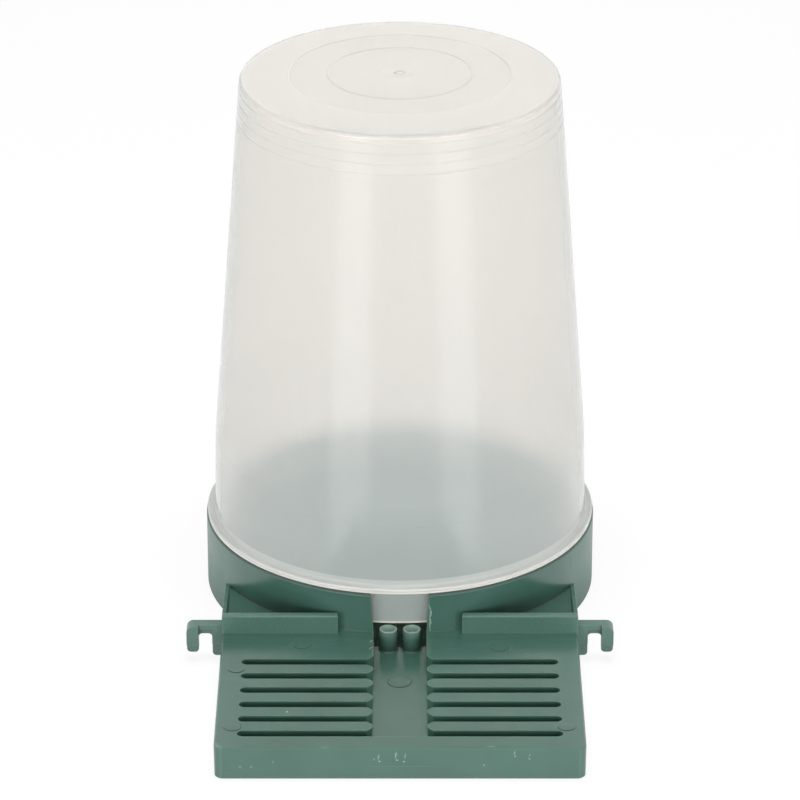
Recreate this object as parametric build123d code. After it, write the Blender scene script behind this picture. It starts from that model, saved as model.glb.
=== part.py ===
from build123d import *
import math
import os

# Beehive entrance feeder: a moulded base that hangs on the hive's front, and an upturned syrup jar.
# Millimetres, +Z up, tongue towards -Y. Pieces are drawn about the jar's axis and moved at the end,
# so that the origin is under the middle of the whole feeder.

# Collar and cup
collar_margin = 0.4
collar_wall = 2.8
collar_height = 27.0
collar_edge = 0.8
cup_floor_wall = 2.0
cup_corner = 1.6

# Tongue that reaches into the hive
tongue_inset = 7.8
tongue_reach = 152.0
tongue_height = 12.0
tongue_corner_radius = 3.0
tongue_edge = 0.5
tongue_draft = 0.5
edge_angle = 45.0
deck_wall = 2.0
skirt_wall = 2.2

# Syrup channel and drinking grooves
trough_depth = 7.0
trough_wall = 1.6
channel_width = 18.6
front_border = 8.2
rear_land = 16.0
side_land = 7.6
groove_width = 4.0
groove_pitch = 10.1
rib_nose = 1.9
rib_tip = 2.2
tip_share = 0.4
notch_draft = 4.0

# Bee-stop pegs
peg_diameter = 6.2
peg_height = 8.1
peg_dish_diameter = 5.3
peg_dish_depth = 1.5
peg_foot = 0.5

# Stop plates that bear on the hive's front wall
plate_gap = 43.6
plate_thickness = 3.0
plate_height = 7.0
plate_proud = 0.3
plate_edge = 0.4
gusset_wall = 1.4

# Hooks that drop over two screws in the hive's front wall
hook_inner_leg = 3.6
hook_slot_width = 4.8
hook_outer_leg = 4.2
hook_rise = 2.2
hook_bar_height = 1.7
hook_web_height = 4.0
hook_setback = 0.7
hook_depth = 5.6
hook_bar_depth = 4.2
hook_web_depth = 2.6
hook_step_level = 6.9
hook_outer_tip = 2.8
hook_inner_tip = 1.5
hook_shoulder_radius = 2.4
hook_tip_radius = 1.4
hook_root = 1.0

# Syrup jar, upside down
foot_diameter = 134.6
jar_height = 167.3
jar_wall = 1.1
neck_clearance = 1.1
rim_gap = 0.7
flange_overhang = 2.7
flange_thickness = 1.8
flange_cove = 0.8
flange_edge = 0.4
foot_taper = 0.7
knee_level = 32.0
end_diameter = 112.2
end_wall = 1.4
end_edge = 0.7
end_rise = 1.1
panel_diameter = 77.8
panel_step = 0.35
panel_rise = 0.7
gate_diameter = 13.0
gate_depth = 0.6

# Levels and places that follow from the sizes above
foot_radius = foot_diameter / 2
flange_radius = foot_radius + flange_overhang
knee_radius = foot_radius - foot_taper
collar_radius = flange_radius + collar_margin
cup_radius = collar_radius - collar_wall
floor_level = tongue_height - trough_depth
floor_underside = floor_level - cup_floor_wall
deck_underside = tongue_height - deck_wall
tongue_half = collar_radius - tongue_inset
channel_half = channel_width / 2
stop_plane = -(collar_radius + plate_proud)
plate_rear = stop_plane + plate_thickness
trough_front = front_border - tongue_reach
trough_rear = 2 * cup_corner - cup_radius
trough_span = stop_plane - rear_land - trough_front
groove_count = 1 + int((trough_span - groove_width) / groove_pitch)
groove_tip = tongue_half - side_land
flare = (groove_pitch - rib_tip) / 2
peg_gap = (channel_width - 2 * peg_diameter) / 3
neck_end = floor_level + peg_height + rim_gap - collar_height
axis_shift = (tongue_reach - collar_radius) / 2


def plan_box(x_low, x_high, y_low, y_high):
    centre = Pos((x_low + x_high) / 2, (y_low + y_high) / 2)
    return centre * Rectangle(x_high - x_low, y_high - y_low)


def upright(sketch, low, high):
    return extrude(Pos(0, 0, low) * sketch, high - low)


def outline(corners, ease=fillet):
    # Closed outline through corners given as (across, up, size of the fillet or chamfer there)
    face = make_face(Polyline([corner[:2] for corner in corners], close=True))
    for across, up, size in corners:
        if size:
            face = ease(face.vertices().sort_by_distance((across, up))[0], size)
    return face


def turned(sketch):
    # A radius-and-height sketch turned about the jar's axis
    return revolve(Plane.XZ * sketch, Axis.Z)


def facing_hive(sketch, front, rear):
    # A width-and-height sketch made solid between two depths
    return extrude(Plane.XZ.offset(-rear) * sketch, rear - front)


def mirrored(piece):
    return piece + mirror(piece, Plane.YZ)


def cup():
    # Collar wall with an eased top edge and a skirt below, and the cup's raised floor
    skirt_radius = collar_radius - skirt_wall
    corners = [
        (0, floor_underside, 0), (skirt_radius, floor_underside, 0), (skirt_radius, 0, 0),
        (collar_radius, 0, 0), (collar_radius, collar_height, collar_edge),
        (cup_radius, collar_height, 0), (cup_radius, floor_level, cup_corner), (0, floor_level, 0),
    ]
    return turned(outline(corners, chamfer))


def tongue_plan():
    plan = plan_box(-tongue_half, tongue_half, -tongue_reach, 0)
    return fillet(plan.vertices().group_by(Axis.Y)[0], tongue_corner_radius)


def trough_grooves():
    # Middle of each drinking groove, from the tongue's tip to the collar
    first = trough_front + groove_width / 2
    return [first + index * groove_pitch for index in range(groove_count)]


def groove_mouth():
    # Where a groove crosses the channel it flares, so that the ribs beside it end in blunt noses
    half = groove_width / 2
    start = channel_half + rib_nose
    return outline([
        (start, -half, 0), (start, half, 0), (channel_half, flare, 0), (-channel_half, flare, 0),
        (-start, half, 0), (-start, -half, 0), (-channel_half, -flare, 0), (channel_half, -flare, 0),
    ])


def trough_plan():
    # Channel crossed by round-ended grooves; the front groove flares towards the collar only
    plan = plan_box(-channel_half, channel_half, trough_front, trough_rear)
    mouth = groove_mouth()
    grooves = trough_grooves()
    for middle in grooves:
        plan += Pos(0, middle) * SlotOverall(2 * groove_tip, groove_width)
        plan += Pos(0, middle) * mouth
    plan &= plan_box(-groove_tip, groove_tip, trough_front, trough_rear)
    tips = [
        v for v in plan.vertices()
        if abs(v.X) < channel_half + rib_nose / 2
        and grooves[0] < v.Y < grooves[-1] + groove_pitch / 2
    ]
    lean = math.atan2(rib_nose, flare - groove_width / 2)
    return fillet(tips, tip_share * rib_tip / math.tan(lean / 2))


def trough_shell():
    # Walls round the channel, the grooves and their mouths, square-ended below the deck
    channel_wall = channel_half + trough_wall
    half = groove_width / 2 + trough_wall
    tip = groove_tip + trough_wall
    front = trough_front - trough_wall
    shell = plan_box(-channel_wall, channel_wall, front, -cup_radius)
    mouth = offset(groove_mouth(), trough_wall, kind=Kind.INTERSECTION)
    for middle in trough_grooves():
        shell += plan_box(-tip, tip, middle - half, middle + half)
        shell += Pos(0, middle) * mouth
    return shell & plan_box(-tip, tip, front, -cup_radius)


def tongue_block():
    # Three layers from one plan: the drafted body, and a bevelled edge above and below it
    plan = tongue_plan()
    rim = tongue_height - tongue_edge
    lean = (rim - tongue_edge) * math.tan(math.radians(tongue_draft))
    block = extrude(Pos(0, 0, rim) * plan, tongue_edge - rim, taper=tongue_draft)
    block += extrude(Pos(0, 0, rim) * plan, tongue_edge, taper=edge_angle)
    foot = Pos(0, 0, tongue_edge) * offset(plan, -lean)
    return block + extrude(foot, -tongue_edge, taper=edge_angle)


def tongue():
    # Thin-walled tray: deck and skirts, with the troughs standing down into the hollow underside
    hollow = offset(tongue_plan(), -skirt_wall, kind=Kind.INTERSECTION) - Circle(collar_radius)
    block = tongue_block() - upright(hollow, 0, deck_underside)
    return block + upright(trough_shell(), floor_underside, deck_underside)


def notch():
    # Opening in the collar's front, wider at the top
    lean = (collar_height - tongue_height) * math.tan(math.radians(notch_draft))
    opening = outline([
        (-channel_half, tongue_height, 0), (channel_half, tongue_height, 0),
        (channel_half + lean, collar_height, 0), (-channel_half - lean, collar_height, 0),
    ])
    return facing_hive(opening, -collar_radius - collar_wall, trough_rear)


def pegs():
    # Two cored pegs that leave three equal gaps across the channel, too narrow for a bee
    radius = peg_diameter / 2
    dish_floor = peg_height - peg_dish_depth
    peg = turned(outline([
        (0, 0, 0), (radius + peg_foot, 0, 0), (radius, peg_foot, 0), (radius, peg_height, 0),
        (peg_dish_diameter / 2, peg_height, 0), (peg_dish_diameter / 4, dish_floor, 0), (0, dish_floor, 0),
    ]))
    across = (peg_gap + peg_diameter) / 2
    return mirrored(Pos(across, -(collar_radius - collar_wall / 2), floor_level) * peg)


def stop_plates():
    # Upright plate each side of the notch, braced at its outer end by a gusset that slopes to the collar
    top = tongue_height + plate_height
    plate = upright(plan_box(plate_gap / 2, tongue_half, stop_plane, plate_rear), deck_underside, top)
    plate = chamfer(plate.edges().group_by(Axis.Z)[-1], plate_edge)
    brace_start = plate_rear - plate_edge
    collar_y = -math.sqrt(collar_radius ** 2 - tongue_half ** 2)
    brace = outline([
        (brace_start, deck_underside, 0), (brace_start, top - plate_edge, 0),
        (collar_y, tongue_height, 0), (collar_y, deck_underside, 0),
    ])
    gusset = extrude(Plane.YZ.offset(tongue_half - gusset_wall) * brace, gusset_wall)
    return mirrored(plate + gusset)


def hooks():
    # Inverted U that is longer behind than in front, with a recessed web above its slot
    front = stop_plane + hook_setback
    rear = front + hook_depth
    web_front = rear - hook_web_depth
    bar_front = rear - hook_bar_depth
    top = tongue_height + hook_rise
    arch = top - hook_web_height
    bar = top - hook_bar_height
    root = tongue_half - hook_root
    slot_in = tongue_half + hook_inner_leg
    slot_out = slot_in + hook_slot_width
    outer = slot_out + hook_outer_leg
    back = outline([
        (root, hook_inner_tip, 0), (slot_in, hook_inner_tip, hook_tip_radius),
        (slot_in, arch, hook_tip_radius), (slot_out, arch, hook_tip_radius),
        (slot_out, hook_outer_tip, hook_tip_radius), (outer, hook_outer_tip, hook_tip_radius),
        (outer, top, hook_shoulder_radius), (root, top, 0),
    ])
    bar_and_inner_leg = outline([
        (root, hook_step_level, 0), (slot_in, hook_step_level, 0), (slot_in, bar, 0),
        (slot_out, bar, 0), (slot_out, top, 0), (root, top, 0),
    ])
    outer_leg = outline([
        (slot_out, hook_step_level, 0), (outer, hook_step_level, 0),
        (outer, top, hook_shoulder_radius), (slot_out, top, 0),
    ])
    hook = facing_hive(back, web_front, rear)
    hook += facing_hive(bar_and_inner_leg, bar_front, web_front)
    hook += facing_hive(outer_leg, front, web_front)
    return mirrored(hook)


def feeder_base():
    base = tongue() - upright(Circle(cup_radius + collar_wall / 2), 0, tongue_height)
    base += cup()
    base -= upright(trough_plan(), floor_level, tongue_height)
    base -= notch()
    base += pegs()
    base += stop_plates()
    base += hooks()
    return base


def jar_outside():
    # Neck, flange, steep foot, tapered wall and the closed end, which rises in a step to a low dome
    neck_radius = cup_radius - neck_clearance
    panel_radius = panel_diameter / 2
    panel = jar_height + end_rise
    gate = panel + panel_rise
    return outline([
        (0, neck_end, 0), (neck_radius, neck_end, 0), (neck_radius, 0, 0),
        (flange_radius, 0, 0), (flange_radius, flange_thickness, flange_edge),
        (foot_radius, flange_thickness, flange_cove), (knee_radius, knee_level, 0),
        (end_diameter / 2, jar_height, end_edge),
        (panel_radius, panel, 0), (panel_radius - panel_step, panel - panel_step, 0),
        (gate_diameter / 2, gate, 0), (0, gate - gate_depth, 0),
    ], chamfer)


def jar_inside():
    neck_radius = cup_radius - neck_clearance - jar_wall
    ceiling = jar_height - end_wall
    return outline([
        (0, neck_end, 0), (neck_radius, neck_end, 0), (neck_radius, 0, 0),
        (foot_radius - jar_wall, flange_thickness, 0), (knee_radius - jar_wall, knee_level, 0),
        (end_diameter / 2 - jar_wall, ceiling, 0), (0, ceiling, 0),
    ])


def syrup_jar():
    return Pos(0, 0, collar_height) * turned(jar_outside() - jar_inside())


os.makedirs("parts", exist_ok=True)
for name, piece in {"feeder_base": feeder_base(), "syrup_jar": syrup_jar()}.items():
    export_step(Pos(0, axis_shift, 0) * piece, os.path.join("parts", name + ".step"))
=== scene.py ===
import bpy
import math
import numpy as np
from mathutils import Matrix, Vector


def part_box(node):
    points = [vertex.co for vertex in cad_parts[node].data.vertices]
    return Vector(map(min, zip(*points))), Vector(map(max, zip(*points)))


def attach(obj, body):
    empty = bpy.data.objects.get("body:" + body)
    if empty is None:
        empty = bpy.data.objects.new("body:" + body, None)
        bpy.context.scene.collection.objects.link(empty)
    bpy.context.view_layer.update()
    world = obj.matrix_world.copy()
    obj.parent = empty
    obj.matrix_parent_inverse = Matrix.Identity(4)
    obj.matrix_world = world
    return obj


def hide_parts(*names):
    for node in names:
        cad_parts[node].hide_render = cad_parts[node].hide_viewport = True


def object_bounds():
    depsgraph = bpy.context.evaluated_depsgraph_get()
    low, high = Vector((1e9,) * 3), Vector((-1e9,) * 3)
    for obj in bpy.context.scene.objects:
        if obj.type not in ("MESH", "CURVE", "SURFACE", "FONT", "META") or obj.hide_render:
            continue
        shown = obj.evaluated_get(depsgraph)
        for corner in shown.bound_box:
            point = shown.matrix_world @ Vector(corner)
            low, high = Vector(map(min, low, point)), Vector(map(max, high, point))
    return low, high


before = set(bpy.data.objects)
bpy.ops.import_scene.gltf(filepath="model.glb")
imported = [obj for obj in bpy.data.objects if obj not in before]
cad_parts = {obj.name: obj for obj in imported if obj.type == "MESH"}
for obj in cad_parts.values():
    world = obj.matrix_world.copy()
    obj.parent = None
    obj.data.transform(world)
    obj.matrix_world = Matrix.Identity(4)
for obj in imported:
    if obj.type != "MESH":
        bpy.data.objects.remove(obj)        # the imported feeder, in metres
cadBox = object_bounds()
mm = 0.001
print("frame loaded:", sorted(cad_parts))


# mesh helpers

def makePiece(name, points, faces, body, material):
    mesh = bpy.data.meshes.new(name)
    mesh.from_pydata(points.tolist(), [], faces)
    mesh.polygons.foreach_set("use_smooth", np.ones(len(mesh.polygons), bool))
    mesh.materials.append(material)
    mesh.update()
    piece = bpy.data.objects.new(name, mesh)
    bpy.context.scene.collection.objects.link(piece)
    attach(piece, body)
    print(name, "made:", len(points), "points,", len(faces), "faces")
    return piece


def setPoints(piece, name, values):
    # one number for each point, which the material reads by its name
    piece.data.attributes.new(name, "FLOAT", "POINT").data.foreach_set("value", values)


def ramp(value, start, length):
    # 0 before a place and 1 after it, rising evenly over a length
    return np.clip((value - start) / length, 0, 1)


def roundCorners(corners, arcSteps):
    # each corner (r, z, radius) becomes an arc: centre on the bisector, points turned between the tangents
    pts = np.array([c[:2] for c in corners], float)
    line = [pts[:1]]
    for before, here, after, (_, _, radius) in zip(pts[:-2], pts[1:-1], pts[2:], corners[1:-1]):
        if not radius:
            line.append(here[None])
            continue
        a = (before - here) / np.linalg.norm(before - here)
        b = (after - here) / np.linalg.norm(after - here)
        half = math.acos(np.clip(a @ b, -1, 1)) / 2
        middle = here + (a + b) / np.linalg.norm(a + b) * radius / math.sin(half)
        start = here + a * radius / math.tan(half) - middle
        end = here + b * radius / math.tan(half) - middle
        turn = math.pi - 2 * half
        t = np.linspace(0, 1, arcSteps)[:, None]
        line.append(middle + (np.sin((1 - t) * turn) * start + np.sin(t * turn) * end) / math.sin(turn))
    line.append(pts[-1:])
    return np.concatenate(line)


def evenOut(line, longest, support):
    # long straight stretches get more points, one of them close to each end so that shading stays crisp
    out = []
    for a, b in zip(line[:-1], line[1:]):
        length = np.linalg.norm(b - a)
        t = np.linspace(0, 1, 1 + max(1, math.ceil(length / longest)))[:-1]
        if length > 4 * support:
            t = np.sort(np.concatenate([t, [support / length, 1 - support / length]]))
        out.append(a + (b - a) * t[:, None])
    return np.concatenate(out + [line[-1:]])


def latheFaces(turns, rows):
    # quads between neighbouring columns of a closed lathe, and a fan of triangles round each pole
    col, row = np.meshgrid(np.arange(turns), np.arange(rows - 1), indexing="ij")
    a, b = col * rows + row, (col + 1) % turns * rows + row
    quads = np.stack([a, a + 1, b + 1, b], -1).reshape(-1, 4).tolist()
    column = np.arange(turns)
    after = (column + 1) % turns
    first, last = np.full(turns, turns * rows), np.full(turns, turns * rows + 1)
    starts = np.stack([first, column * rows, after * rows], -1).tolist()
    ends = np.stack([last, after * rows + rows - 1, column * rows + rows - 1], -1).tolist()
    return quads + starts + ends


def repeatFaces(count, size, pattern):
    # the faces of one shape, numbered on for each of its copies of so many points
    return [[corner + index * size for corner in face] for index in range(count) for face in pattern]


# node helpers

def newMaterial(name):
    material = bpy.data.materials.new(name)
    material.use_nodes = True
    tree = material.node_tree
    tree.nodes.clear()
    return material, tree


def add(tree, kind, inputs=(), **settings):
    node = tree.nodes.new(kind)
    for key, value in settings.items():
        setattr(node, key, value)
    for key, value in dict(inputs).items():
        if isinstance(value, bpy.types.NodeSocket):
            tree.links.new(value, node.inputs[key])
        else:
            node.inputs[key].default_value = value
    return node


def math2(tree, operation, a, b):
    return add(tree, "ShaderNodeMath", {0: a, 1: b}, operation=operation, use_clamp=True).outputs[0]


def times(tree, first, *others):
    for other in others:
        first = math2(tree, "MULTIPLY", first, other)
    return first


def largest(tree, first, *others):
    for other in others:
        first = math2(tree, "MAXIMUM", first, other)
    return first


def attribute(tree, name):
    return add(tree, "ShaderNodeAttribute", attribute_name=name).outputs["Fac"]


def noise(tree, where, stretch, detail=2, rough=0.5):
    # noise whose features are about 1/stretch metres wide along each axis
    mapping = add(tree, "ShaderNodeMapping", {"Vector": where, "Scale": stretch})
    inputs = {"Vector": mapping.outputs[0], "Scale": 1.0, "Detail": detail, "Roughness": rough}
    return add(tree, "ShaderNodeTexNoise", inputs).outputs["Fac"]


def bump(tree, height, strength, depth, **under):
    # bumps of a depth in millimetres, over another normal where one is given
    inputs = {"Height": height, "Strength": strength, "Distance": depth * mm, **under}
    return add(tree, "ShaderNodeBump", inputs).outputs[0]


def remap(tree, value, fromLow, fromHigh, toLow, toHigh):
    inputs = {"Value": value, "From Min": fromLow, "From Max": fromHigh, "To Min": toLow, "To Max": toHigh}
    return add(tree, "ShaderNodeMapRange", inputs).outputs[0]


def spread(tree, value, low, high):
    return remap(tree, value, 0.3, 0.7, low, high)        # a noise mostly lies between 0.3 and 0.7


def gradient(tree, value, start, stop, low, high):
    # from one number to another between two places in millimetres
    return remap(tree, value, start * mm, stop * mm, low, high)


def beyond(tree, value, limit, soft=0.05):
    # 1 past a place in millimetres, 0 before it, with a soft step
    return gradient(tree, value, limit - soft, limit + soft, 0, 1)


def within(tree, value, limit, soft=0.05):
    # 1 up to a place in millimetres, 0 past it
    return gradient(tree, value, limit - soft, limit + soft, 1, 0)


def band(tree, value, low, high, soft=0.05):
    # 1 between two places in millimetres, 0 outside
    return times(tree, beyond(tree, value, low, soft), within(tree, value, high, soft))


def farFrom(tree, x, y, across, along):
    # distance in plan from an upright axis
    flat = add(tree, "ShaderNodeCombineXYZ", {0: x, 1: y}).outputs[0]
    centre = (across * mm, along * mm, 0)
    return add(tree, "ShaderNodeVectorMath", {0: flat, 1: centre}, operation="DISTANCE").outputs["Value"]


def blend(tree, share, a, b):
    return add(tree, "ShaderNodeMix", {0: share, 6: a, 7: b}, data_type="RGBA").outputs[2]


def tint(colour, factor):
    return tuple(factor * c for c in colour[:3]) + (1,)


# milky polypropylene of the jar

milk = {
    "haze": (0.88, 0.985, 1.0, 1), "thickHaze": (0.985, 0.95, 0.915, 1), "warm": (1.0, 0.93, 0.87, 1),
    "shade": (0.55, 0.63, 0.65, 1), "glow": (0.98, 0.93, 0.86, 1), "clear": (1.0, 0.885, 0.815, 1),
    "clearShare": 0.69, "thickShare": 0.30, "glowShare": 0.12,
    "clearRough": 0.16, "hazeRough": (0.19, 0.27), "cloud": (40, 40, 18), "ior": 1.45,
    "lines": (18, 18, 900), "linesBump": 0.10, "linesDepth": 0.05,        # fine turned lines of the mould
    "rubs": (420, 420, 60), "rubsSeen": (0.48, 0.66),        # short upright rubs, in some patches only
    "patches": (26, 26, 34), "patchesSeen": (0.55, 0.72), "scuff": 0.01,
}


def milkyPolypropylene():
    material, tree = newMaterial("milkyPolypropylene")
    where = add(tree, "ShaderNodeTexCoord").outputs["Object"]
    lines = noise(tree, where, milk["lines"], detail=3)
    cloud = noise(tree, where, milk["cloud"], detail=3)
    rubs = noise(tree, where, milk["rubs"], detail=4, rough=0.7)
    patches = noise(tree, where, milk["patches"])
    thick, warm, shade = (attribute(tree, name) for name in ("milkiness", "warmth", "shade"))
    scuffs = times(tree, remap(tree, patches, *milk["patchesSeen"], 0, milk["scuff"]),
                   remap(tree, rubs, *milk["rubsSeen"], 0, 1))
    share = remap(tree, thick, 0, 1, milk["clearShare"], milk["thickShare"])
    share = math2(tree, "SUBTRACT", share, scuffs)
    colour = blend(tree, thick, milk["haze"], milk["thickHaze"])
    colour = blend(tree, warm, colour, milk["warm"])
    # painted shade on the end's corner and top, from the shade attribute
    colour = blend(tree, shade, colour, milk["shade"])
    turned = bump(tree, lines, milk["linesBump"], milk["linesDepth"])
    haze = add(tree, "ShaderNodeBsdfPrincipled", {
        "Base Color": colour, "Roughness": spread(tree, cloud, *milk["hazeRough"]), "Normal": turned,
        "IOR": milk["ior"]})
    glow = add(tree, "ShaderNodeBsdfTranslucent", {"Color": milk["glow"], "Normal": turned})
    clear = add(tree, "ShaderNodeBsdfPrincipled", {
        "Base Color": milk["clear"], "Roughness": milk["clearRough"], "Transmission Weight": 1.0,
        "IOR": milk["ior"], "Normal": turned})
    milky = add(tree, "ShaderNodeMixShader", {0: milk["glowShare"], 1: haze.outputs[0], 2: glow.outputs[0]})
    both = add(tree, "ShaderNodeMixShader", {0: share, 1: milky.outputs[0], 2: clear.outputs[0]})
    add(tree, "ShaderNodeOutputMaterial", {"Surface": both.outputs[0]})
    return material


# upturned syrup jar, turned about the collar's axis

jar = {
    "turns": 264, "arcSteps": 6, "longest": 4.0, "support": 0.12,
    "neck": 66.5, "wall": 1.1, "flangeThick": 1.8, "cornerUp": 2.2, "lip": 0.6, "fade": 0.4, "seat": 27.02,
    "foot": 67.3, "knee": 66.6, "kneeUp": 32.0, "kneeRound": 14, "end": 56.1, "endUp": 167.3, "endWall": 1.4,
    "endRound": 1.9, "endInside": 1.5, "footRound": 1.1, "flangeRound": (0.6, 0.45), "seatRound": 0.3,
    "lipRound": 0.45, "insideRound": 2, "fineRound": 0.3,
    "panel": 38.9, "panelUp": 1.1, "panelStep": (0.5, 0.2), "panelRound": 0.4,
    "bead": 25.2, "beadHalf": 0.55, "beadRise": 0.1, "gateUp": 1.8,
    # the gate's pip and dish: radius, depth and rounding
    "gate": ((0, 0.45, 0), (0.9, 0.45, 0.3), (1.5, 0.1, 0.3), (2.1, 0.5, 0.4), (6.5, 0.02, 0.5)),
    "ringFirst": 3.1, "ringPitch": 3.6, "ringCount": 4, "ringDepth": 0.16, "ringWidth": 0.55,
    "ringRound": (0.25, 0.2), "lineUp": 25.2, "lineHalf": 0.25, "lineRise": 0.05,
    "outOfRound": 0.0012, "ovalTurn": 0.6, "ovalFrom": 60, "ovalOver": 135,
    # how milky thick places are, and where their edges lie
    "flangeMilk": 0.28, "edgeMilk": 0.7, "panelMilk": 0.1, "annulusMilk": 0.2, "footMilk": 0.05,
    "flangeFrom": (0.1, 0.8), "seatSkin": 0.1, "edgeIn": (0.5, 0.3), "edgeUp": (0.6, 0.5),
    "annulusIn": 0.3, "footUp": (20, 25),
    # painted shade of the end's corner, and painted shade and warmth of its top
    "cornerIn": 1.25, "cornerDown": 1.9, "cornerFade": 0.6, "topDown": 0.5, "topShade": 0.1, "topWarmth": 0.3,
}


def endCorners(end):
    # corners (radius, height, rounding) of the closed end, from the gate out to the wall
    panel, gate = end + jar["panelUp"], end + jar["gateUp"]
    bead = panel + (gate - panel) * (jar["panel"] - jar["bead"]) / jar["panel"]
    corners = [(r, gate - down, rounding) for r, down, rounding in jar["gate"]]
    corners += [(jar["bead"] + out * jar["beadHalf"], bead + up * jar["beadRise"], jar["fineRound"])
                for out, up in ((-1, -1), (0, 1), (1, -1))]
    stepIn, stepDown = jar["panelStep"]
    return corners + [
        (jar["panel"] - stepIn, panel - stepDown, jar["fineRound"]), (jar["panel"], panel, jar["panelRound"]),
        (jar["end"], end, jar["endRound"]),
    ]


def ringCorners(end, slope):
    # corners of the turned rings below the closed end
    corners = []
    half = jar["ringWidth"] / 2
    edge, bottom = jar["ringRound"]
    for index in range(jar["ringCount"]):
        up = end - jar["ringFirst"] - index * jar["ringPitch"]
        r = jar["end"] + slope * (end - up)
        corners += [(r - slope * half, up + half, edge), (r - jar["ringDepth"], up, bottom),
                    (r + slope * half, up - half, edge)]
    return corners


def jarProfile(low, high):
    # outline from the gate over the end, down the wall, round the flange and rim, and up the inside
    flange = (high.x - low.x) / 2 / mm
    rim = low.z / mm
    seat = jar["seat"]
    knee, end, top = seat + jar["kneeUp"], seat + jar["endUp"], seat + jar["flangeThick"]
    inner = jar["neck"] - jar["wall"]
    draft = (jar["foot"] - jar["knee"]) / (knee - top)
    line = jar["lineUp"] - jar["flangeThick"]
    raised = [(jar["foot"] - draft * up + out, top + up, 0) for up, out in (
        (line + jar["lineHalf"], 0), (line, jar["lineRise"]), (line - jar["lineHalf"], 0))]
    # points where a milky band starts or ends
    bands = [(jar["foot"] - draft * up, top + up, 0)
             for up in (jar["cornerUp"] + jar["fade"], jar["cornerUp"])]
    lips = [rim + jar["lip"] + jar["fade"], rim + jar["lip"]]
    upper, lower = jar["flangeRound"]
    outside = endCorners(end) + ringCorners(end, (jar["knee"] - jar["end"]) / (end - knee))
    outside += [(jar["knee"], knee, jar["kneeRound"])] + raised + bands
    outside += [(jar["foot"], top, jar["footRound"]), (flange, top, upper), (flange, seat, lower)]
    outside += [(jar["neck"], seat, jar["seatRound"])] + [(jar["neck"], up, 0) for up in lips]
    inside = [(jar["neck"], rim, jar["lipRound"]), (inner, rim, jar["lipRound"])]
    inside += [(inner, up, 0) for up in lips[::-1]]
    inside += [(inner, seat, jar["insideRound"]), (jar["foot"] - jar["wall"], top, jar["insideRound"])]
    inside += [(r - jar["wall"], up, 0) for r, up, _ in bands[::-1]]
    inside += [
        (jar["knee"] - jar["wall"], knee, jar["kneeRound"]),
        (jar["end"] - jar["wall"], end - jar["endWall"], jar["endInside"]), (0, end - jar["endWall"], 0),
    ]
    return evenOut(roundCorners(outside + inside, jar["arcSteps"]), jar["longest"], jar["support"])


def milkiness(r, z, rim):
    # thick places scatter more light: the lip most, then the flange's lower edge, the flange and the end
    seat = jar["seat"]
    corner = seat + jar["flangeThick"] + jar["cornerUp"]
    start, length = jar["flangeFrom"]
    flange = np.maximum(ramp(r, jar["foot"] + start, length),
                        (1 - ramp(z, corner, jar["fade"])) * (z > seat - jar["seatSkin"]))
    (inwards, width), (up, height) = jar["edgeIn"], jar["edgeUp"]
    edge = ramp(r, r.max() - inwards, width) * (1 - ramp(z, seat + up, height))
    lip = 1 - ramp(z, rim + jar["lip"], jar["fade"])
    annulus = jar["annulusMilk"] * ramp(r, jar["panel"] - jar["annulusIn"], jar["annulusIn"])
    end = (z > seat + jar["endUp"] - jar["topDown"]) * (jar["panelMilk"] + annulus)
    start, length = jar["footUp"]
    foot = jar["footMilk"] * (1 - ramp(z, seat + start, length)) * (z > seat)
    return np.clip(jar["flangeMilk"] * flange + jar["edgeMilk"] * edge + lip + end + foot, 0, 1)


def endTints(r, z):
    # painted shade on the end's rounded corner, and a little painted shade and a warmer tint on its top
    up = z - jar["seat"] - jar["endUp"]
    corner = ramp(r, jar["end"] - jar["cornerIn"], jar["cornerFade"])
    corner = corner * ramp(up, -jar["cornerDown"], jar["cornerFade"])
    top = up > -jar["topDown"]
    return np.maximum(corner, jar["topShade"] * top), jar["topWarmth"] * top


def makeJar(material):
    low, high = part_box("syrup_jar")
    middle = (low + high) / 2
    line = jarProfile(low, high)
    r, z = line[1:-1, 0], line[1:-1, 1]
    theta = np.linspace(0, 2 * math.pi, jar["turns"], endpoint=False)[:, None]
    # radius times cos and sin of the turn, slowly out of round towards the closed end
    oval = np.cos(2 * theta + jar["ovalTurn"]) * ramp(z, jar["ovalFrom"], jar["ovalOver"])
    wave = 1 + jar["outOfRound"] * oval
    x, y = r * wave * np.cos(theta), r * wave * np.sin(theta)
    grid = np.stack([x, y, np.broadcast_to(z, x.shape)], -1).reshape(-1, 3)
    poles = np.array([[0, 0, line[0, 1]], [0, 0, line[-1, 1]]])
    points = np.concatenate([grid, poles]) * mm + np.array([middle.x, middle.y, 0])
    faces = latheFaces(jar["turns"], len(r))
    piece = makePiece("syrupJar", points, faces, "jar", material)
    shade, warmth = endTints(r, z)
    milky = milkiness(r, z, low.z / mm)
    for name, values, pole in (
            ("milkiness", milky, 0), ("shade", shade, jar["topShade"]), ("warmth", warmth, jar["topWarmth"])):
        setPoints(piece, name, np.concatenate([np.tile(values, jar["turns"]), [pole, 0]]))
    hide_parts("syrup_jar")


# green moulding of the base

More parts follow.
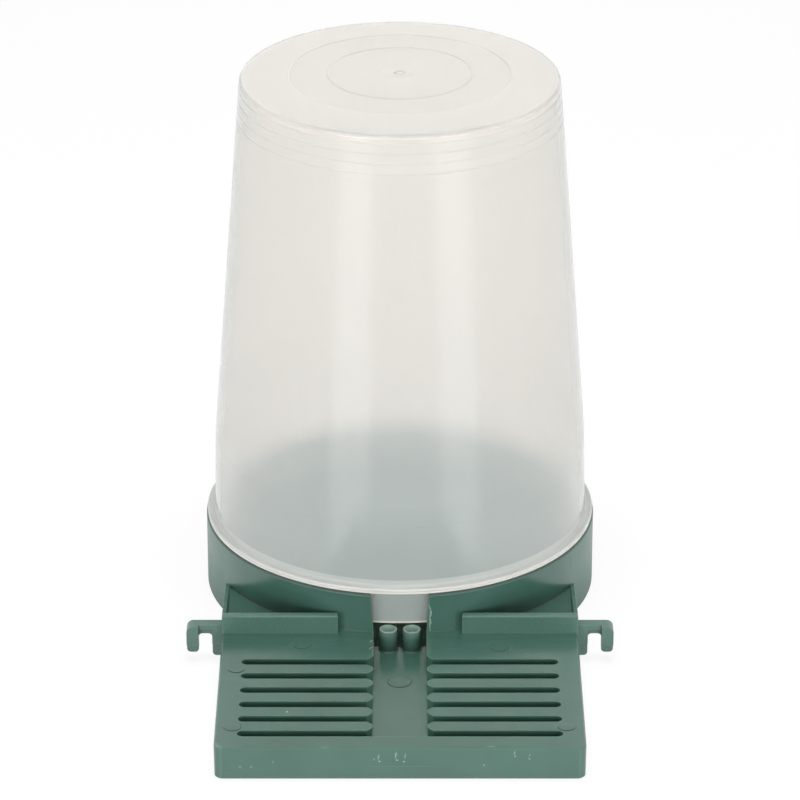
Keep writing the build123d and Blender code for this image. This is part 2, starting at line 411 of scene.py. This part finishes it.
green = {
    "colour": (0.054, 0.130, 0.103, 1), "edgeColour": (0.17, 0.27, 0.225, 1),
    # the dark colour next is painted shade: on the marks' front steps, the pegs' feet, under the flange,
    # above the pockets and in the cup
    "paintedShade": (0.015, 0.036, 0.028, 1), "whiteningAndLight": (0.36, 0.52, 0.45, 1), "cloudy": (0.93, 1.07),
    "ior": 1.5, "shine": 0.75, "rough": (0.18, 0.25), "sparkRough": 0.16, "creaseRough": 0.5,
    "dullShine": 0.12, "dullRough": 0.75, "dullShade": (0.3, 0.95),
    "bevel": 0.35, "edgeWidth": 0.5, "edgeSeen": (0.45, 0.95),
    "edgeWearAndHighlight": 0.5, "edgePatches": (0.5, 1), "frontEdgePaleness": 0.4,
    "cloud": (45, 45, 45), "grain": (2200, 2200, 2200), "fine": (900, 900, 900), "milling": (40, 1500, 300),
    "skinBump": (0.06, 0.05), "millingBump": (0.7, 0.07), "sparkBump": (0.45, 0.10),        # strength, depth
    "sparkPale": 0.26, "millingShare": 0.45, "millingTint": 0.6, "channelLight": 0.17, "whiteSpread": (0.6, 0.95),
    "dishPale": 0.7, "pegPale": 0.2, "footDark": 0.6, "flangeShadowDark": 0.75, "pocketDark": 0.65,
    "matte": 0.5, "channelDull": 0.3,
}

# places on the base in millimetres; a skin is a step just off a face
mould = {
    "axis": 40.8, "cup": 67.7, "cupTop": 26.9, "collar": 70.4, "deck": 12.0, "floor": 5.0, "skin": 0.1,
    "frontEdge": -111.2, "frontDepth": 1.5, "tongueHalf": 62.6, "landDepth": 15.0, "landSoft": 1.5,
    "stopPlane": -29.9, "plateFront": -32.0, "plateDepth": 3.0, "plateStart": 21.8,
    "pegAt": (4.15, -28.3), "pegZone": (-32.0, -24.6), "pegHalf": 8.6, "peg": 3.3, "pegTop": 13.1,
    "pegRim": 0.25, "rimSoft": 0.1, "pegUpper": (9.1, 12.1), "pegFoot": (5.2, 8.4),
    "dish": 2.7, "dishDepth": 1.6,
    "flangeShadow": 26.3, "flangeShadowSoft": 0.2, "flangeShadowSpan": (68.9, 71.4),
    "pocketAlong": (-27.1, 40.0), "pocketSpan": (30.0, 47.0), "pocketSoft": 6.0, "pocketUp": (13, 24),
    "matteAlong": (2, 12), "matteUp": (2, 18),
    "throat": (48.0, 69.2), "throatSoft": 2.0, "throatAlong": (5, -5),
    "channelHalf": 10.6, "channelDull": (-52, -38), "channelLit": (-48, -62),
}


def placeOnBase(tree, where):
    # along, up, across from the middle plane, and in plan from the cup's axis and from the nearer peg's
    x, y, z = add(tree, "ShaderNodeSeparateXYZ", {0: where}).outputs
    side = math2(tree, "ABSOLUTE", x, 0)
    return y, z, side, farFrom(tree, x, y, 0, mould["axis"]), farFrom(tree, side, y, *mould["pegAt"])


def sparkZone(tree, y, z, side):
    # spark-eroded faces: the stop plates, the hooks and the pegs
    hooks = beyond(tree, side, mould["tongueHalf"] + mould["skin"])
    plates = times(tree, band(tree, y, mould["plateFront"], mould["stopPlane"] + mould["plateDepth"]),
                   beyond(tree, z, mould["deck"] + mould["skin"]), beyond(tree, side, mould["plateStart"]))
    pegs = times(tree, band(tree, y, *mould["pegZone"]), within(tree, side, mould["pegHalf"]),
                 beyond(tree, z, mould["floor"] + mould["skin"]))
    return largest(tree, hooks, plates, pegs)


def landZone(tree, y, z):
    # milled land between the stop plates and the first groove
    top = band(tree, z, mould["deck"] - mould["skin"], mould["deck"] + mould["skin"])
    stop = mould["stopPlane"]
    return times(tree, top, band(tree, y, stop - mould["landDepth"], stop, mould["landSoft"]))


def pegShades(tree, y, z, side, peg):
    # the two pegs are paler towards the top and in the dish, painted light, paler on the rim from whitening
    # and a painted highlight, and dark at the foot, painted shade
    near = times(tree, band(tree, y, *mould["pegZone"]), within(tree, side, mould["pegHalf"]))
    dish = times(tree, within(tree, peg, mould["dish"]),
                 beyond(tree, z, mould["pegTop"] - mould["dishDepth"]), green["dishPale"])
    rim = beyond(tree, z, mould["pegTop"] - mould["pegRim"], mould["rimSoft"])
    upper = gradient(tree, z, *mould["pegUpper"], 0, green["pegPale"])
    foot = times(tree, beyond(tree, z, mould["floor"] + mould["skin"]),
                 gradient(tree, z, *mould["pegFoot"], green["footDark"], 0))
    return times(tree, largest(tree, rim, upper, dish), near), times(tree, foot, near)


def collarZones(tree, y, z, side, away):
    # painted shadow under the flange's edge, painted shade on the collar above the pockets, and matte sides
    # with painted shade at the collar's foot
    outside = beyond(tree, away, mould["collar"] - mould["skin"])
    flangeShadow = times(tree, band(tree, away, *mould["flangeShadowSpan"]),
                 beyond(tree, z, mould["flangeShadow"], mould["flangeShadowSoft"]), green["flangeShadowDark"])
    pocketShade = times(tree, band(tree, y, *mould["pocketAlong"]),
                   band(tree, side, *mould["pocketSpan"], mould["pocketSoft"]),
                   gradient(tree, z, *mould["pocketUp"], green["pocketDark"], 0), outside)
    matte = times(tree, gradient(tree, y, *mould["matteAlong"], 0, 1),
                  gradient(tree, z, *mould["matteUp"], green["matte"], 0), outside)
    return flangeShadow, pocketShade, matte


def cupZones(tree, y, z, side, away, peg):
    # dull inside of the cup without the pegs and less dull channel next to them, both with painted shade;
    # painted shade in the throat; painted light on the channel floor towards the front
    floor, skin = mould["floor"], mould["skin"]
    cup = times(tree, within(tree, away, mould["cup"]), band(tree, z, floor - skin, mould["cupTop"]))
    cup = math2(tree, "SUBTRACT", cup, within(tree, peg, mould["peg"]))
    channel = times(tree, within(tree, side, mould["channelHalf"]), band(tree, z, floor - skin, floor + skin))
    dulled = times(tree, channel, gradient(tree, y, *mould["channelDull"], 0, green["channelDull"]))
    channelLight = times(tree, channel, gradient(tree, y, *mould["channelLit"], 0, green["channelLight"]))
    throat = times(tree, band(tree, away, *mould["throat"], mould["throatSoft"]),
                   gradient(tree, y, *mould["throatAlong"], 0, 1))
    return largest(tree, cup, dulled), throat, channelLight


def wornAndHighlitEdges(tree, y, cloud, edgeWearAndSheen):
    # sharp edges, found from inside, are paler in patches, partly from wear and partly a painted highlight,
    # and less so along the tongue's front edge
    reach = {"Distance": green["edgeWidth"] * mm}
    inside = add(tree, "ShaderNodeAmbientOcclusion", reach, inside=True, samples=6)
    front = mould["frontEdge"]
    return times(tree, remap(tree, inside.outputs["AO"], *green["edgeSeen"], edgeWearAndSheen, 0),
                 spread(tree, cloud, *green["edgePatches"]),
                 gradient(tree, y, front, front + mould["frontDepth"], green["frontEdgePaleness"], 1))


def greenMoulding(name, edgeWearAndSheen):
    material, tree = newMaterial(name)
    where = add(tree, "ShaderNodeTexCoord").outputs["Object"]
    y, z, side, away, peg = placeOnBase(tree, where)
    spark = sparkZone(tree, y, z, side)
    land = landZone(tree, y, z)
    pale, foot = pegShades(tree, y, z, side, peg)
    flangeShadow, pocketShade, matte = collarZones(tree, y, z, side, away)
    cup, throat, channelLight = cupZones(tree, y, z, side, away, peg)
    cloud = noise(tree, where, green["cloud"], detail=3)
    grain = noise(tree, where, green["grain"])
    fine = noise(tree, where, green["fine"], detail=3)
    milling = noise(tree, where, green["milling"], detail=3, rough=0.6)
    # a mask of painted shade on the ejector marks, and a mask of real whitening on the nicks and flash
    paintedShade, white = attribute(tree, "paintedShade"), attribute(tree, "whitening")

    rounded = add(tree, "ShaderNodeBevel", {"Radius": green["bevel"] * mm}, samples=4).outputs[0]
    skin = bump(tree, fine, *green["skinBump"], Normal=rounded)
    strength, depth = green["millingBump"]
    milled = bump(tree, milling, times(tree, land, strength), depth, Normal=skin)
    strength, depth = green["sparkBump"]
    speckled = bump(tree, grain, times(tree, spark, strength), depth, Normal=milled)

    # share and colour of each layer, from the bottom to the top
    # edges paler from wear and a painted highlight, but not in the painted shadow under the flange
    edge = math2(tree, "SUBTRACT", wornAndHighlitEdges(tree, y, cloud, edgeWearAndSheen), flangeShadow)
    layers = (
        (times(tree, spark, spread(tree, grain, 0, green["sparkPale"])), green["edgeColour"]),
        (times(tree, land, spread(tree, milling, 0, green["millingShare"])),
         tint(green["colour"], green["millingTint"])),
        # painted light on the channel floor, then painted shade on the marks' front steps
        (channelLight, green["edgeColour"]), (paintedShade, green["paintedShade"]),
        # painted shade at the pegs' feet, painted shadow under the flange and painted shade above the pockets
        (largest(tree, foot, flangeShadow, pocketShade), green["paintedShade"]),
        # pegs paler on the top and in the dish, painted light, and on the rim, whitening with a painted
        # highlight
        (times(tree, pale, spread(tree, grain, *green["whiteSpread"])), green["whiteningAndLight"]),
        # real whitening of the nicks and flash, then the paler edges of wear and painted highlight
        (white, green["whiteningAndLight"]), (edge, green["edgeColour"]),
    )
    dark, light = (tint(green["colour"], factor) for factor in green["cloudy"])
    colour = blend(tree, spread(tree, cloud, 0, 1), dark, light)
    for share, over in layers:
        colour = blend(tree, share, colour, over)

    rough = math2(tree, "ADD", spread(tree, cloud, *green["rough"]), times(tree, spark, green["sparkRough"]))
    rough = math2(tree, "ADD", rough, times(tree, paintedShade, green["creaseRough"]))
    shader = add(tree, "ShaderNodeBsdfPrincipled", {
        "Base Color": colour, "Roughness": rough, "Normal": speckled, "IOR": green["ior"],
        "Specular IOR Level": green["shine"]})
    # the dull layer is darker, painted shade, and has less sheen; in the throat it is almost all painted
    # shade
    dull = add(tree, "ShaderNodeBsdfPrincipled", {
        "Base Color": blend(tree, remap(tree, throat, 0, 1, *green["dullShade"]), colour, green["paintedShade"]),
        "Roughness": green["dullRough"], "Normal": skin, "IOR": green["ior"],
        "Specular IOR Level": green["dullShine"]})
    both = add(tree, "ShaderNodeMixShader", {
        0: largest(tree, cup, matte), 1: shader.outputs[0], 2: dull.outputs[0]})
    add(tree, "ShaderNodeOutputMaterial", {"Surface": both.outputs[0]})
    return material


def dressBase(material):
    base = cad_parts["feeder_base"]
    base.data.materials.clear()
    base.data.materials.append(material)
    print("feeder_base dressed")


# ejector-pin marks on the tongue

pins = {
    # across, along, level and radius of each
    "places": (
        (-34.3, -37.4, 12, 3.8), (34.8, -39.3, 12, 3.8), (-56.7, -55.6, 12, 3.1), (-56.7, -96.4, 12, 3.2),
        (56.4, -96.2, 12, 3.2), (-0.2, -52.2, 5, 4.3),
    ),
    "rise": 0.16, "bevel": 0.22, "ring": 0.34, "rimRise": 0.1, "sink": 0.25, "turns": 64, "lineFrom": 0.35,
}


def makePins(material):
    # each mark is a disc that tips up towards the front: its rise goes with 1 - y/radius, its foot is sunk
    x, y, level, radius = (np.array(column)[:, None, None] for column in zip(*pins["places"]))
    theta = np.linspace(0, 2 * math.pi, pins["turns"], endpoint=False)[None, :, None]
    r = radius - np.array([pins["bevel"] + pins["ring"], pins["bevel"], 0, 0])
    up = pins["rise"] / 2 * (1 - np.sin(theta) * r / radius) * np.array([1, 1, pins["rimRise"], 0])
    up = up - pins["sink"] * np.array([0, 0, 0, 1])
    ring = np.stack(np.broadcast_arrays(x + r * np.cos(theta), y + r * np.sin(theta), level + up), -1)
    count, turns, rows = ring.shape[:3]
    tops = np.stack(np.broadcast_arrays(x, y, level + pins["rise"] / 2), -1)[:, 0]
    feet = np.stack(np.broadcast_arrays(x, y, level - pins["sink"]), -1)[:, 0]
    points = np.concatenate([ring.reshape(count, -1, 3), tops, feet], 1)
    faces = repeatFaces(count, points.shape[1], latheFaces(turns, rows))
    piece = makePiece("ejectorMarks", points.reshape(-1, 3) * mm, faces, "base", material)
    piece.data.polygons.foreach_set("use_smooth", np.zeros(len(faces), bool))
    # painted shade on the front step only
    line = np.clip(pins["lineFrom"] - np.sin(theta[0]), 0, 1) * np.array([0, 1, 1, 1])
    setPoints(piece, "paintedShade", np.tile(np.concatenate([line.ravel(), [0, 0]]), count))


# nicks from handling, and a skin of flash beside the notch

nicks = {
    # on the front face: across, up, half width, half length, rise, lean of the length in degrees, whiteness
    "front": (
        (-53.7, 4.8, 0.55, 0.6, 0.18, 0, 0.25), (-50.0, 4.8, 0.5, 0.55, 0.20, 0, 0.25),
        (-42.6, 6.8, 0.4, 0.45, 0.16, 0, 0.35), (-7.2, 8.6, 0.32, 1.5, 0.12, 8, 0.45),
        (-6.9, 7.0, 0.4, 0.4, 0.22, 0, 0.8), (-8.7, 7.8, 0.3, 0.5, 0.12, 10, 0.4),
        (-1.4, 9.4, 0.38, 1.7, 0.12, 8, 0.5), (-1.0, 7.5, 0.42, 0.42, 0.24, 0, 0.8),
        (1.7, 9.0, 0.3, 1.4, 0.12, 8, 0.4), (1.3, 6.9, 0.38, 0.4, 0.20, -25, 0.7),
        (28.2, 5.6, 0.35, 0.55, 0.16, -30, 0.4), (38.4, 10.2, 0.35, 1.1, 0.10, 4, 0.35),
        (38.6, 8.9, 0.4, 0.4, 0.2, 0, 0.6), (43.5, 9.3, 0.3, 0.7, 0.14, 20, 0.35),
        (43.4, 8.0, 0.28, 0.6, 0.16, -30, 0.45),
    ),
    # on the tops: across, along, level, and then the same
    "top": (
        (-38.4, -86.2, 12, 0.42, 0.42, 0.20, 0, 0.8), (-61.4, -109.6, 11.8, 0.8, 0.9, 0.35, 30, 0.25),
        (-60.3, -110.2, 11.8, 0.5, 0.9, 0.3, -40, 0.25), (-61.7, -108.2, 11.8, 0.4, 0.8, 0.25, 10, 0.25),
        (-10.1, -35.4, 12, 0.22, 1.0, 0.18, 40, 0.6), (-10.2, -40.4, 12, 0.22, 1.1, 0.18, 38, 0.6),
        (30.5, -109.9, 11.9, 1.6, 0.3, 0.12, 0, 0.5), (-25.2, -110.4, 11.8, 1.4, 0.25, 0.1, 0, 0.5),
    ),
    "frontDraft": 0.005, "frontTop": 11.5, "sink": 0.15, "rings": 7, "turns": 18,
    # waves round the outline, and how far each shifts from nick to nick
    "ragged": 0.16, "waves": ((3, 2.1), (5, 1.3)),
}


def domes(place, across, along, outwards, size):
    # low ragged domes: the height falls with the square of the way out and the whiteness with its cube,
    # and the outline swells with two waves
    halfWidth, halfLength, rise, lean, whiteness = (np.array(column)[:, None, None] for column in zip(*size))
    turn = np.radians(lean)
    out = np.linspace(0, 1, nicks["rings"] + 1)[1:][None, None]
    theta = np.linspace(0, 2 * math.pi, nicks["turns"], endpoint=False)[None, :, None]
    phase = np.arange(len(size))[:, None, None]
    ripple = sum(np.sin(count * theta + shift * phase) for count, shift in nicks["waves"])
    swell = 1 + nicks["ragged"] * ripple
    u, v = halfWidth * out * swell * np.cos(theta), halfLength * out * swell * np.sin(theta)
    a, b = u * np.cos(turn) + v * np.sin(turn), v * np.cos(turn) - u * np.sin(turn)
    h = np.broadcast_to((rise + nicks["sink"]) * (1 - out ** 2) - nicks["sink"], a.shape)
    centre = np.array(place, float)[:, None, None, :]
    ring = centre + a[..., None] * across + b[..., None] * along + h[..., None] * outwards
    tops = np.array(place, float) + np.array([row[2] for row in size])[:, None] * outwards
    feet = np.array(place, float) - 2 * nicks["sink"] * np.array(outwards)
    white = np.broadcast_to(whiteness * (1 - out ** 3), a.shape).reshape(len(size), -1)
    white = np.concatenate([white, np.repeat(whiteness[:, 0], 2, 1)], 1)
    return np.concatenate([ring.reshape(len(size), -1, 3), tops[:, None], feet[:, None]], 1), white


def makeNicks(material):
    x, y, z = np.eye(3)
    front = [(across, mould["frontEdge"] + nicks["frontDraft"] * (nicks["frontTop"] - up), up)
             for across, up, *_ in nicks["front"]]
    groups = [domes(front, x, z, -y, [row[2:] for row in nicks["front"]]),
              domes([row[:3] for row in nicks["top"]], x, y, z, [row[3:] for row in nicks["top"]])]
    points = np.concatenate([group[0] for group in groups])
    white = np.concatenate([group[1] for group in groups])
    faces = repeatFaces(len(points), points.shape[1], latheFaces(nicks["turns"], nicks["rings"]))
    piece = makePiece("handlingNicks", points.reshape(-1, 3) * mm, faces, "base", material)
    setPoints(piece, "whitening", white.ravel())


flash = {
    "heights": (12.3, 15.0, 18.3, 20.5, 22.0, 23.3), "across": (10.5, 10.6, 10.6, 10.9, 10.3, 9.9),
    "steps": 90, "turns": 10, "half": 0.36, "proud": 0.2, "white": 0.6,
    # size, rate and start of each wave along the height, and how the tips taper
    "wander": ((0.10, 23, 0), (0.06, 61, 1)), "swell": ((0.25, 19, 2), (0.2, 47, 0)), "tip": (0.02, 0.4),
}


def waves(t, rows):
    # sum of sines: size times the sine of rate times the way along, plus a start
    return sum(size * np.sin(rate * t + start) for size, rate, start in rows)


def tube(path, wide, tall, across, outwards, turns):
    # ellipse carried along a path: wide times cos along one direction, tall times sin along the other
    theta = np.linspace(0, 2 * math.pi, turns, endpoint=False)[:, None, None]
    sheet = path + wide[:, None] * np.cos(theta) * across + tall[:, None] * np.sin(theta) * outwards
    ends = path[[0, -1]]
    return np.concatenate([sheet.reshape(-1, 3), ends]), latheFaces(turns, len(path))


def makeFlash(material):
    # ragged skin by the notch's right edge: a thin tube that wanders and swells along its height
    t = np.linspace(0, 1, flash["steps"])
    bottom, top = flash["heights"][0], flash["heights"][-1]
    z = bottom + (top - bottom) * t
    x = np.interp(z, flash["heights"], flash["across"]) + waves(t, flash["wander"])
    y = mould["axis"] - np.sqrt(mould["collar"] ** 2 - x ** 2)
    least, power = flash["tip"]
    swell = (1 + waves(t, flash["swell"])) * np.sin(math.pi * np.clip(t, least, 1 - least)) ** power
    axes = np.eye(3)
    points, faces = tube(np.stack([x, y, z], -1), flash["half"] * swell, flash["proud"] * swell,
                         axes[0], -axes[1], flash["turns"])
    piece = makePiece("notchFlash", points * mm, faces, "base", material)
    setPoints(piece, "whitening", np.full(len(points), flash["white"]))


# floor, light and camera

studio = {
    "floor": 3.0, "floorColour": (0.90, 0.90, 0.90, 1), "floorGlow": 0.86, "glowStrength": 1.02,
    "ambient": 0.25,
    "stripAzimuth": (-31, 37), "stripUp": 0.02, "stripSize": (0.42, 0.9), "stripPower": (2.6, 2.6),
    "sideAzimuth": (-100, 100, 180), "sideUp": 0.15, "sideSize": (0.5, 0.5), "sidePower": (2.0, 2.0, 0.6),
    "away": 1.0, "frontSize": (2.6, 0.40), "frontUp": 0.2, "frontAway": 1.3, "frontPower": 11.3,
    "topSize": (0.7, 0.7), "topPower": 13.5, "topUp": 1.3, "topBack": -0.05,
}


def seenDirectly(tree):
    # 1 for camera, mirror and see-through rays, 0 for rays that light things
    path = add(tree, "ShaderNodeLightPath").outputs
    return largest(tree, path["Is Camera Ray"], path["Is Glossy Ray"], path["Is Transmission Ray"])


def makeFloor():
    half = studio["floor"]
    corners = [(-half, -half, 0), (half, -half, 0), (half, half, 0), (-half, half, 0)]
    mesh = bpy.data.meshes.new("studioFloor")
    mesh.from_pydata(corners, [], [(0, 1, 2, 3)])
    floor = bpy.data.objects.new("studioFloor", mesh)
    bpy.context.scene.collection.objects.link(floor)
    material, tree = newMaterial("paleFloor")
    matte = add(tree, "ShaderNodeBsdfDiffuse", {"Color": studio["floorColour"]})
    glow = add(tree, "ShaderNodeEmission", {"Color": (1, 1, 1, 1), "Strength": studio["glowStrength"]})
    share = times(tree, seenDirectly(tree), studio["floorGlow"])
    mix = add(tree, "ShaderNodeMixShader", {0: share, 1: matte.outputs[0], 2: glow.outputs[0]})
    add(tree, "ShaderNodeOutputMaterial", {"Surface": mix.outputs[0]})
    mesh.materials.append(material)
    floor.visible_glossy = False        # mirror rays pass on to the low ends of the strip lights


def makeWorld():
    world = bpy.data.worlds.new("studioWorld")
    world.use_nodes = True
    tree = world.node_tree
    tree.nodes.clear()
    strength = remap(tree, seenDirectly(tree), 0, 1, studio["ambient"], 1)
    back = add(tree, "ShaderNodeBackground", {"Color": (1, 1, 1, 1), "Strength": strength})
    add(tree, "ShaderNodeOutputWorld", {"Surface": back.outputs[0]})
    bpy.context.scene.world = world


def makeLamp(name, place, aim, size, power):
    lamp = bpy.data.lights.new(name, "AREA")
    lamp.shape = "RECTANGLE"
    lamp.size, lamp.size_y = size
    lamp.energy = power
    holder = bpy.data.objects.new(name, lamp)
    bpy.context.scene.collection.objects.link(holder)
    holder.location = place
    holder.rotation_euler = (aim - place).to_track_quat("-Z", "Y").to_euler()
    holder.visible_camera = False
    return holder


def around(aim, azimuth, away):
    # a place at the aim's height, turned round it from the front towards the right
    turn = math.radians(azimuth)
    place = aim.copy()
    place.x += away * math.sin(turn)
    place.y -= away * math.cos(turn)
    return place


def makeLights():
    low, high = cadBox
    aim = (low + high) / 2
    strips = zip(("stripLeft", "stripRight"), studio["stripAzimuth"], studio["stripPower"])
    for name, azimuth, power in strips:
        place = around(aim, azimuth, studio["away"])
        place.z = studio["stripUp"]
        strip = makeLamp(name, place, aim, studio["stripSize"], power)
        strip.visible_transmission = False        # not seen through the jar
    sides = zip(("sideLeft", "sideRight", "rear"), studio["sideAzimuth"], studio["sidePower"])
    for name, azimuth, power in sides:
        place = around(aim, azimuth, studio["away"])
        place.z += studio["sideUp"]
        makeLamp(name, place, aim, studio["sideSize"], power).visible_glossy = False
    front = around(aim, 0, studio["frontAway"])
    front.z = studio["frontUp"]
    makeLamp("lowFront", front, aim, studio["frontSize"], studio["frontPower"]).visible_glossy = False
    above = aim.copy()
    above.z += studio["topUp"]
    above.y += studio["topBack"]
    makeLamp("overhead", above, aim, studio["topSize"], studio["topPower"]).visible_glossy = False


view = {"place": (0, -1.3933, 0.7416), "down": 25.105, "lens": 197.55, "sensor": 36}


def makeCamera():
    camera = bpy.data.cameras.new("photoCamera")
    camera.sensor_width = view["sensor"]
    camera.lens = view["lens"]
    holder = bpy.data.objects.new("photoCamera", camera)
    bpy.context.scene.collection.objects.link(holder)
    holder.location = view["place"]
    holder.rotation_euler = (math.radians(90 - view["down"]), 0, 0)
    bpy.context.scene.camera = holder


bpy.context.scene.view_settings.view_transform = "Standard"
makeJar(milkyPolypropylene())
dressBase(greenMoulding("greenMoulding", green["edgeWearAndHighlight"]))
marked = greenMoulding("greenMarks", 0)
makePins(marked)
makeNicks(marked)
makeFlash(marked)
makeFloor()
makeWorld()
makeLights()
makeCamera()
print("stage ready")
